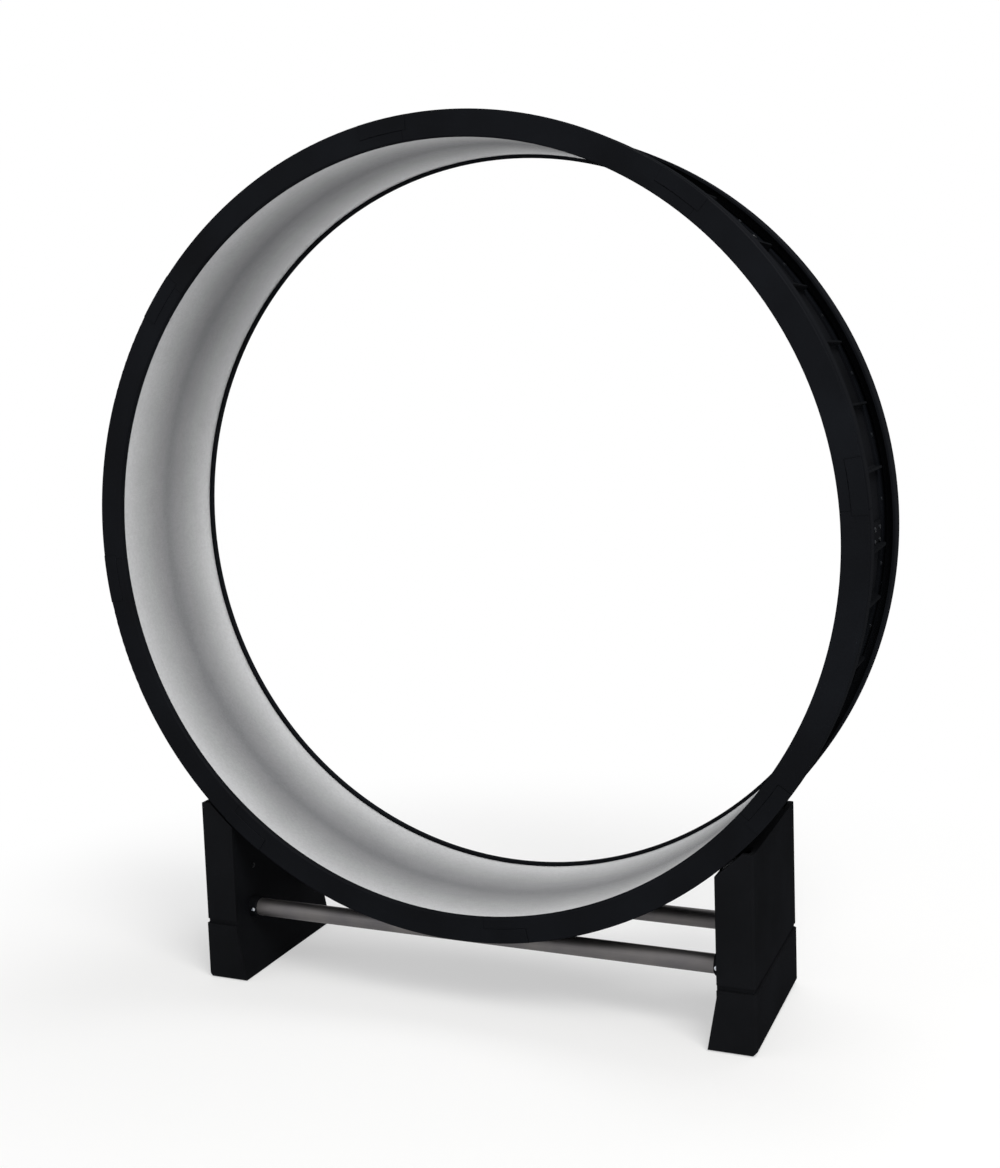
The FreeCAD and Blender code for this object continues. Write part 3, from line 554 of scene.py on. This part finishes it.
def grow(name, tree, sizes, start=None):
    """Runs a tree on an object and keeps the result as the object's own plain mesh."""
    piece = bpy.data.objects.new(name, start or bpy.data.meshes.new(name))
    scene.collection.objects.link(piece)
    modifier = piece.modifiers.new("Grow", "NODES")
    modifier.node_group = tree
    for item in tree.interface.items_tree:
        if item.item_type == "SOCKET" and item.in_out == "INPUT" and item.name in sizes:
            modifier[item.identifier] = sizes[item.name]
    depsgraph = bpy.context.evaluated_depsgraph_get()
    mesh = bpy.data.meshes.new_from_object(piece.evaluated_get(depsgraph), depsgraph=depsgraph)
    piece.modifiers.clear()
    piece.data = mesh
    mesh.name = name
    return piece


def round_off(piece):
    """Shades a piece smooth, apart from the edges that turn by more than crease_degrees."""
    mesh = piece.data
    mesh.shade_smooth()
    shape = bmesh.new()
    shape.from_mesh(mesh)
    crease = math.radians(crease_degrees)
    for edge in shape.edges:
        edge.smooth = len(edge.link_faces) == 2 and edge.calc_face_angle(0) < crease
    shape.to_mesh(mesh)
    shape.free()


print("socket kinds:", len(SOCKETS))

# %% [markdown]
# ## A slab bent round the axle
#
# A mat strip and a skin panel are both flat goods bent into an arc. A finely divided box is the easiest
# start: it is closed and has only square faces. Its length becomes an angle, its width stays, and its
# height becomes a radius. The same few nodes bend both, so they sit in one function.

# %% Bending a box
def share_of_box(tree):
    """Place in a unit box as three fields from 0 to 1: along, across and up."""
    place = add(tree, "GeometryNodeInputPosition")
    centred = add(tree, "ShaderNodeVectorMath", {0: place, 1: (0.5, 0.5, 0.5)}, operation="ADD")
    return add(tree, "ShaderNodeSeparateXYZ", {0: centred}).outputs


def bent_place(tree, angle, y, radius):
    """Point at an angle, width and radius about the axle."""
    across = add(tree, "ShaderNodeMath", {0: angle}, operation="COSINE")
    above = add(tree, "ShaderNodeMath", {0: angle}, operation="SINE")
    x = add(tree, "ShaderNodeMath", {0: across, 1: radius}, operation="MULTIPLY")
    z = add(tree, "ShaderNodeMath", {0: above, 1: radius}, operation="MULTIPLY")
    spoke = add(tree, "ShaderNodeCombineXYZ", {0: x, 1: y, 2: z})
    return add(tree, "ShaderNodeVectorMath", {0: spoke, 1: axle}, operation="ADD")


print("axle at", [round(c, 4) for c in axle])

# %% [markdown]
# ## The mat
#
# The inside is lined with needle-punched polyester felt, laid in four lengths that butt together, with
# their edges tucked under the lips of the rings. It is dead matt, with a soft sheen at low angles and a
# heather of mixed grey fibres. Running has pressed it down, most of all along the middle and less towards
# the edges. Its colour carries a painted shade, darkest along the middle and fading towards the pale edges.
# Its fibres are really thinner than a hair, and are drawn at 1.4 mm. Simulating cloth would add nothing to
# a pad that is glued flat, so the strip is a bent slab whose face is pressed, eased at its ends and stirred
# by a little noise.

# %% Felt material
mat_half = around_axle("running_mat_1")["half"]
fibre_mm = 1.4
# Painted shade: the felt's colour runs through these greys, darkest at its middle and palest at its edges.
# The same two widths also set how far running has pressed the felt down.
pressed_and_shaded_half = 4 * MM
unpressed_unshaded_half = 118 * MM
butt_gap = 0.14 * MM
painted_shade_greys = ("#717275", "#8c8d8f", "#a9aaac", "#c6c7c9")
line_wander = 5 * MM
wander_mm = 90
heather_low, heather_high = 0.92, 1.06
heather_mm = 5


def needled_felt():
    """Grey heathered felt: matt, with stray fibres, a soft sheen and a painted shade that fades outwards."""
    material = empty_material("grey_needle_punched_felt")
    tree = material.node_tree
    place = add(tree, "ShaderNodeTexCoord")
    parts = add(tree, "ShaderNodeSeparateXYZ", {0: place.outputs["Object"]})
    across = add(tree, "ShaderNodeMath", {0: parts.outputs["Y"]}, operation="ABSOLUTE")
    drift = add(tree, "ShaderNodeTexNoise", {"Vector": place.outputs["Object"],
                                             "Scale": per_metre(wander_mm), "Detail": 3.0})
    wander = add(tree, "ShaderNodeMapRange", {"Value": drift, "From Min": noise_low, "From Max": noise_high,
                                              "To Min": -line_wander, "To Max": line_wander})
    line = add(tree, "ShaderNodeMath", {0: across, 1: wander}, operation="ADD")
    # Painted shade: the colour is darkest along this wandering middle line and fades to the pale edges.
    unshaded_share = add(tree, "ShaderNodeMapRange", {"Value": line, "From Min": pressed_and_shaded_half,
                                             "From Max": unpressed_unshaded_half})
    tread = add(tree, "ShaderNodeValToRGB", {"Fac": unshaded_share})
    for number, grey in enumerate(painted_shade_greys):
        share = number / (len(painted_shade_greys) - 1)
        stop = tread.color_ramp.elements[number] if number < 2 else tread.color_ramp.elements.new(share)
        stop.position = share
        stop.color = linear(grey)
    mixed_fibres = add(tree, "ShaderNodeTexNoise", {"Vector": place.outputs["Object"],
                                                    "Scale": per_metre(heather_mm), "Detail": 5.0,
                                                    "Roughness": 0.7})
    heather = add(tree, "ShaderNodeMapRange", {"Value": mixed_fibres, "From Min": 0.35,
                                               "From Max": 0.65, "To Min": heather_low,
                                               "To Max": heather_high})
    shade_with_heather = add(tree, "ShaderNodeMix", {"Factor": 1.0, "A": tread, "B": heather},
                  data_type="RGBA", blend_type="MULTIPLY")
    fibres = add(tree, "ShaderNodeTexVoronoi", {"Vector": place.outputs["Object"],
                                                "Scale": per_metre(fibre_mm)},
                 feature="F1", distance="MINKOWSKI")
    tangle = add(tree, "ShaderNodeTexNoise", {"Vector": place.outputs["Object"],
                                              "Scale": per_metre(fibre_mm), "Detail": 5.0,
                                              "Distortion": 1.2})
    nap = add(tree, "ShaderNodeMath", {0: tangle, 1: fibres.outputs["Distance"]}, operation="ADD")
    bump = add(tree, "ShaderNodeBump", {"Height": nap, "Strength": 0.6, "Distance": 0.35 * MM})
    felt = add(tree, "ShaderNodeBsdfPrincipled", {"Base Color": shade_with_heather, "Roughness": 0.95,
                                                  "Normal": bump, "Specular IOR Level": 0.15,
                                                  "Sheen Weight": 0.25, "Sheen Roughness": 0.5})
    add(tree, "ShaderNodeOutputMaterial", {"Surface": felt})
    return material


mat_felt = needled_felt()
print(f"felt {2 * mat_half / MM:.0f} mm wide, darkest within {pressed_and_shaded_half / MM:.0f} mm of its middle")

# %% Felt strip tree
eased_from = 0.495  # of a strip's length, from its middle
lumps_per_metre = 26.0


def felt_strip_tree(sizes):
    """Slab between two radii, pressed along its middle and eased at its ends."""
    tree, given = new_tree("Felt strip", sizes)
    size = given.outputs
    slab = add(tree, "GeometryNodeMeshCube", {"Vertices X": size["Steps Along"],
                                              "Vertices Y": size["Steps Across"], "Vertices Z": 3})
    along, across, up = share_of_box(tree)
    sweep = add(tree, "ShaderNodeMath", {0: size["End"], 1: size["Start"]}, operation="SUBTRACT")
    angle = add(tree, "ShaderNodeMath", {0: along, 1: sweep, 2: size["Start"]},
                operation="MULTIPLY_ADD")
    y = add(tree, "ShaderNodeMapRange", {"Value": across, "To Min": -mat_half, "To Max": mat_half})
    off_middle = add(tree, "ShaderNodeMath", {0: y}, operation="ABSOLUTE")
    pressed = add(tree, "ShaderNodeMapRange", {"Value": off_middle, "From Min": unpressed_unshaded_half,
                                               "From Max": pressed_and_shaded_half, "To Max": size["Press"]},
                  interpolation_type="SMOOTHSTEP")
    from_middle = add(tree, "ShaderNodeMath", {0: along, 1: 0.5}, operation="SUBTRACT")
    from_middle = add(tree, "ShaderNodeMath", {0: from_middle}, operation="ABSOLUTE")
    eased = add(tree, "ShaderNodeMapRange", {"Value": from_middle, "From Min": eased_from,
                                             "From Max": 0.5, "To Max": size["Ease"]},
                interpolation_type="SMOOTHSTEP")
    place = add(tree, "GeometryNodeInputPosition")
    lumps = add(tree, "ShaderNodeTexNoise", {"Vector": place, "Scale": lumps_per_metre, "Detail": 3.0})
    stirred = add(tree, "ShaderNodeMapRange", {"Value": lumps, "From Min": noise_low, "From Max": noise_high,
                                               "To Max": size["Lumps"]})
    sunk = add(tree, "ShaderNodeMath", {0: pressed, 1: eased}, operation="ADD")
    sunk = add(tree, "ShaderNodeMath", {0: sunk, 1: stirred}, operation="ADD")
    face = add(tree, "ShaderNodeMath", {0: size["Inner"], 1: sunk}, operation="ADD")
    radius = add(tree, "ShaderNodeMapRange", {"Value": up, "From Min": 1.0, "From Max": 0.0,
                                              "To Min": face, "To Max": size["Outer"]})
    bent = add(tree, "GeometryNodeSetPosition", {"Geometry": slab,
                                                 "Position": bent_place(tree, angle, y, radius)})
    solid = add(tree, "GeometryNodeRealizeInstances", {"Geometry": bent})
    finished = add(tree, "GeometryNodeSetMaterial", {"Geometry": solid, "Material": size["Material"]})
    add(tree, "NodeGroupOutput", {"Geometry": finished})
    return tree


def strip_sizes(node):
    """Inputs of the strip that stands for one mat, with its ends brought up to its neighbours'."""
    ring = around_axle(node)
    butt = butt_gap / ring["inner"]
    return {
        "Inner": ring["inner"],
        "Outer": ring["outer"],
        "Start": ring["start"] - butt,
        "End": ring["end"] + butt,
        "Press": 0.9 * MM,
        "Ease": 0.06 * MM,
        "Lumps": 0.35 * MM,
        "Steps Along": 220,
        "Steps Across": 54,
        "Material": mat_felt,
    }


mat_tree = felt_strip_tree(strip_sizes("running_mat_1"))
for name in sorted(node for node in nodes if node.startswith("running_mat")):
    strip = grow(name.replace("running", "felt"), mat_tree, strip_sizes(name))
    round_off(strip)
    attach(strip, "wheel")
    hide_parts(name)
    print(strip.name, len(strip.data.polygons), "faces")

# %% [markdown]
# ## The ribbed skin
#
# Eight curved panels close the wheel between its rings. Outside, each carries four stiffening ribs across
# the running direction, and the joint bars stand where the fifth would be. A moulded rib is never a plain
# plate: it leans in so that it leaves the mould, swells at its root, and is rounded along its crest.

# %% One rib
skin_thickness = 3.5 * MM
rib_count = 4
rib_thickness = 4.0 * MM
rib_half = 83 * MM
rib_slope = 4 * MM
rib_flare = 2.2 * MM
rib_crest = 1.1 * MM
root_sharpness = 9.0
crest_sharpness = 11.0
end_rounding = 3


def rib_shape(tree, size):
    """One rib, standing along Z above the origin and as far from it as it will stand from the axle."""
    plate = add(tree, "GeometryNodeMeshCube", {"Vertices X": 5, "Vertices Y": 25, "Vertices Z": 12})
    thick, long, tall = share_of_box(tree)
    low = add(tree, "ShaderNodeMath", {0: 1.0, 1: tall}, operation="SUBTRACT")
    root = add(tree, "ShaderNodeMath", {0: low, 1: root_sharpness}, operation="POWER")
    crest = add(tree, "ShaderNodeMath", {0: tall, 1: crest_sharpness}, operation="POWER")
    swollen = add(tree, "ShaderNodeMath", {0: root, 1: rib_flare, 2: rib_thickness / 2},
                  operation="MULTIPLY_ADD")
    half_thick = add(tree, "ShaderNodeMath", {0: crest, 1: -rib_crest, 2: swollen},
                     operation="MULTIPLY_ADD")
    leaned = add(tree, "ShaderNodeMath", {0: tall, 1: -rib_slope, 2: rib_half},
                 operation="MULTIPLY_ADD")
    half_long = add(tree, "ShaderNodeMath", {0: crest, 1: -end_rounding * rib_crest, 2: leaned},
                    operation="MULTIPLY_ADD")
    side = add(tree, "ShaderNodeMapRange", {"Value": thick, "To Min": -1.0, "To Max": 1.0})
    end = add(tree, "ShaderNodeMapRange", {"Value": long, "To Min": -1.0, "To Max": 1.0})
    x = add(tree, "ShaderNodeMath", {0: side, 1: half_thick}, operation="MULTIPLY")
    y = add(tree, "ShaderNodeMath", {0: end, 1: half_long}, operation="MULTIPLY")
    z = add(tree, "ShaderNodeMapRange", {"Value": tall, "To Min": size["Skin Outer"],
                                         "To Max": size["Crest"]})
    shaped = add(tree, "ShaderNodeCombineXYZ", {0: x, 1: y, 2: z})
    return add(tree, "GeometryNodeSetPosition", {"Geometry": plate, "Position": shaped})


print(f"rib {2 * rib_half / MM:.0f} mm long at its root, {rib_thickness / MM:.0f} mm thick")

# %% Panels with their ribs
def panel_tree(sizes):
    """Curved skin with equal ribs across its outside."""
    tree, given = new_tree("Ribbed panel", sizes)
    size = given.outputs
    slab = add(tree, "GeometryNodeMeshCube", {"Vertices X": 90, "Vertices Y": 12, "Vertices Z": 2})
    along, across, up = share_of_box(tree)
    sweep = add(tree, "ShaderNodeMath", {0: size["End"], 1: size["Start"]}, operation="SUBTRACT")
    angle = add(tree, "ShaderNodeMath", {0: along, 1: sweep, 2: size["Start"]},
                operation="MULTIPLY_ADD")
    left_edge = add(tree, "ShaderNodeMath", {0: size["Half"], 1: -1.0}, operation="MULTIPLY")
    y = add(tree, "ShaderNodeMapRange", {"Value": across, "To Min": left_edge, "To Max": size["Half"]})
    radius = add(tree, "ShaderNodeMapRange", {"Value": up, "From Min": 1.0, "From Max": 0.0,
                                              "To Min": size["Skin Inner"],
                                              "To Max": size["Skin Outer"]})
    skin = add(tree, "GeometryNodeSetPosition", {"Geometry": slab,
                                                 "Position": bent_place(tree, angle, y, radius)})

    rib = rib_shape(tree, size)
    number = add(tree, "GeometryNodeInputIndex")
    turn_share = add(tree, "ShaderNodeMath", {0: number, 1: 1.0}, operation="ADD")
    turn_share = add(tree, "ShaderNodeMath", {0: turn_share, 1: rib_count + 1}, operation="DIVIDE")
    rib_angle = add(tree, "ShaderNodeMath", {0: turn_share, 1: sweep, 2: size["Start"]},
                    operation="MULTIPLY_ADD")
    lean = add(tree, "ShaderNodeMath", {0: math.pi / 2, 1: rib_angle}, operation="SUBTRACT")
    turned = add(tree, "ShaderNodeCombineXYZ", {0: 0.0, 1: lean, 2: 0.0})
    centres = add(tree, "GeometryNodePoints", {"Count": rib_count, "Position": axle})
    ribs = add(tree, "GeometryNodeInstanceOnPoints", {"Points": centres, "Instance": rib,
                                                      "Rotation": turned})
    both = add(tree, "GeometryNodeJoinGeometry")
    tree.links.new(skin.outputs[0], both.inputs[0])
    tree.links.new(ribs.outputs[0], both.inputs[0])
    solid = add(tree, "GeometryNodeRealizeInstances", {"Geometry": both})
    finished = add(tree, "GeometryNodeSetMaterial", {"Geometry": solid, "Material": size["Material"]})
    add(tree, "NodeGroupOutput", {"Geometry": finished})
    return tree


def panel_sizes(node):
    """Inputs of the ribbed panel that stands for one panel of the frame."""
    ring = around_axle(node)
    return {
        "Skin Inner": ring["inner"],
        "Skin Outer": ring["inner"] + skin_thickness,
        "Crest": ring["outer"],
        "Half": ring["half"],
        "Start": ring["start"],
        "End": ring["end"],
        "Material": skin_abs,
    }


ribbed = panel_tree(panel_sizes("tread_panel_1"))
panel_names = sorted(node for node in nodes if node.startswith("tread_panel"))
for name in panel_names:
    panel = grow(name.replace("tread", "ribbed"), ribbed, panel_sizes(name))
    round_off(panel)
    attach(panel, "wheel")
    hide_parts(name)
print(len(panel_names), "panels with", len(panel_names) * rib_count, "ribs")

# %% [markdown]
# ## Screws
#
# The frame's screws are plain pan heads. A real one has a cross recess for the driver, and no two were
# driven to the same angle. The places are read from the frame: each separate solid in a screw node gives a
# point and the direction that its head faces. One tree then makes the screw and puts a copy at each point.

# %% Where the screws are
same_point = 0.001 * MM


def solids_of(node):
    """Vertices of each separate solid in a node. A dict keeps its order, so each run gives the same list."""
    shape = bmesh.new()
    shape.from_mesh(nodes[node].data)
    bmesh.ops.remove_doubles(shape, verts=shape.verts, dist=same_point)
    unseen = dict.fromkeys(shape.verts)
    solids = []
    while unseen:
        reached = [unseen.popitem()[0]]
        places = []
        while reached:
            vertex = reached.pop()
            places.append(vertex.co.copy())
            for edge in vertex.link_edges:
                other = edge.other_vert(vertex)
                if other in unseen:
                    del unseen[other]
                    reached.append(other)
        solids.append(places)
    shape.free()
    return solids


def screw_seats(node, head_height, facing):
    """Points under the heads of a node's screws, with the way that each head faces."""
    places, directions = [], []
    for solid in solids_of(node):
        low = Vector(min(p[i] for p in solid) for i in range(3))
        high = Vector(max(p[i] for p in solid) for i in range(3))
        middle = (low + high) / 2
        out = facing(middle)
        top = max((p - middle).dot(out) for p in solid)
        places.append(middle + out * (top - head_height))
        directions.append(out)
    seats = bpy.data.meshes.new(node + "_seats")
    seats.from_pydata(places, [], [])
    outward = seats.attributes.new("outward", "FLOAT_VECTOR", "POINT")
    outward.data.foreach_set("vector", [c for out in directions for c in out])
    return seats


print("cover screws:", len(solids_of("cover_screws")))

# %% Screw tree
head_segments = 16
head_rings = 8
shank_sides = 8
dome_power = 0.6
recess_length_share = 1.15
recess_width_share = 0.3
driving_seed = 7


def screw_tree(sizes):
    """Pan head with a cross recess and a short shank, copied to every point."""
    tree, given = new_tree("Pan head screw", sizes)
    size = given.outputs
    ball = add(tree, "GeometryNodeMeshUVSphere", {"Segments": head_segments, "Rings": head_rings,
                                                  "Radius": 1.0})
    place = add(tree, "GeometryNodeInputPosition")
    parts = add(tree, "ShaderNodeSeparateXYZ", {0: place})
    above = add(tree, "ShaderNodeMath", {0: parts.outputs["Z"], 1: 0.0}, operation="MAXIMUM")
    dome = add(tree, "ShaderNodeMath", {0: above, 1: dome_power}, operation="POWER")
    x = add(tree, "ShaderNodeMath", {0: parts.outputs["X"], 1: size["Head Radius"]},
            operation="MULTIPLY")
    y = add(tree, "ShaderNodeMath", {0: parts.outputs["Y"], 1: size["Head Radius"]},
            operation="MULTIPLY")
    z = add(tree, "ShaderNodeMath", {0: dome, 1: size["Head Height"]}, operation="MULTIPLY")
    pan = add(tree, "ShaderNodeCombineXYZ", {0: x, 1: y, 2: z})
    head = add(tree, "GeometryNodeSetPosition", {"Geometry": ball, "Position": pan})

    wing = add(tree, "ShaderNodeMath", {0: size["Head Radius"], 1: recess_length_share},
               operation="MULTIPLY")
    blade = add(tree, "ShaderNodeMath", {0: size["Head Radius"], 1: recess_width_share},
                operation="MULTIPLY")
    across = add(tree, "ShaderNodeCombineXYZ", {0: wing, 1: blade, 2: size["Head Height"]})
    bar = add(tree, "GeometryNodeMeshCube", {"Size": across})
    lift = add(tree, "ShaderNodeCombineXYZ", {0: 0.0, 1: 0.0, 2: size["Head Height"]})
    slot_one = add(tree, "GeometryNodeTransform", {"Geometry": bar, "Translation": lift})
    slot_two = add(tree, "GeometryNodeTransform", {"Geometry": slot_one,
                                                   "Rotation": (0.0, 0.0, math.pi / 2)})
    cut = add(tree, "GeometryNodeMeshBoolean", {"Mesh 1": head, "Mesh 2": slot_one},
              operation="DIFFERENCE", solver="EXACT")
    cut = add(tree, "GeometryNodeMeshBoolean", {"Mesh 1": cut, "Mesh 2": slot_two},
              operation="DIFFERENCE", solver="EXACT")

    half_length = add(tree, "ShaderNodeMath", {0: size["Length"], 1: -0.5}, operation="MULTIPLY")
    below = add(tree, "ShaderNodeCombineXYZ", {0: 0.0, 1: 0.0, 2: half_length})
    rod = add(tree, "GeometryNodeMeshCylinder", {"Vertices": shank_sides,
                                                 "Radius": size["Shank Radius"],
                                                 "Depth": size["Length"]})
    shank = add(tree, "GeometryNodeTransform", {"Geometry": rod.outputs["Mesh"], "Translation": below})
    screw = add(tree, "GeometryNodeJoinGeometry")
    tree.links.new(cut.outputs["Mesh"], screw.inputs[0])
    tree.links.new(shank.outputs[0], screw.inputs[0])

    outward = add(tree, "GeometryNodeInputNamedAttribute", {"Name": "outward"},
                  data_type="FLOAT_VECTOR")
    facing = add(tree, "FunctionNodeAlignRotationToVector", {"Vector": outward}, axis="Z")
    driven = add(tree, "FunctionNodeRandomValue", {"Min": 0.0, "Max": math.pi / 2,
                                                   "Seed": driving_seed},
                 data_type="FLOAT")
    spun = add(tree, "FunctionNodeAxisAngleToRotation", {"Axis": (0.0, 0.0, 1.0), "Angle": driven})
    turned = add(tree, "FunctionNodeRotateRotation", {"Rotation": facing, "Rotate By": spun},
                 rotation_space="LOCAL")
    copies = add(tree, "GeometryNodeInstanceOnPoints", {"Points": given.outputs["Geometry"],
                                                        "Instance": screw, "Rotation": turned})
    solid = add(tree, "GeometryNodeRealizeInstances", {"Geometry": copies})
    finished = add(tree, "GeometryNodeSetMaterial", {"Geometry": solid, "Material": size["Material"]})
    add(tree, "NodeGroupOutput", {"Geometry": finished})
    return tree


print("each head is turned at random from seed", driving_seed)

# %% Make the screws
def from_axle(middle):
    """Heads on the wheel face straight out from its axle."""
    return Vector((middle.x, 0, middle.z - axle.z)).normalized()


def towards_middle(middle):
    return Vector((-math.copysign(1, middle.x), 0, 0))


def away_in_depth(middle):
    return Vector((0, math.copysign(1, middle.y), 0))


def down(middle):
    return Vector((0, 0, -1))


# Body, slot, finish, way the head faces; then head radius and height, and shank radius and length, in mm.
screw_kinds = {
    "rim_screws": ("wheel", "zinc_steel", black_zinc, from_axle, 3.8, 2.4, 1.9, 5.5),
    "joint_bar_screws": ("wheel", "zinc_steel", black_zinc, from_axle, 3.8, 2.4, 1.9, 5.0),
    "cover_screws": ("stand", "black_steel", black_oxide, towards_middle, 3.8, 2.4, 2.0, 12.0),
    "bracket_screws": ("stand", "zinc_steel", zinc, towards_middle, 3.8, 2.4, 2.0, 5.0),
    "socket_screws": ("stand", "zinc_steel", zinc, away_in_depth, 3.5, 2.5, 2.0, 8.0),
    "base_screws": ("stand", "zinc_steel", zinc, down, 4.7, 3.5, 2.5, 28.0),
}
pan_head = None
for name, (body, slot, finish, facing, radius, height, shank, length) in screw_kinds.items():
    sizes = {
        "Head Radius": radius * MM,
        "Head Height": height * MM,
        "Shank Radius": shank * MM,
        "Length": length * MM,
        "Material": finish,
    }
    pan_head = pan_head or screw_tree(sizes)
    screws = grow(name.replace("screws", "cross_screws"), pan_head, sizes,
                  screw_seats(name, height * MM, facing))
    round_off(screws)
    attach(screws, body)
    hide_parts(name)
    print(screws.name, len(screws.data.polygons), "faces")
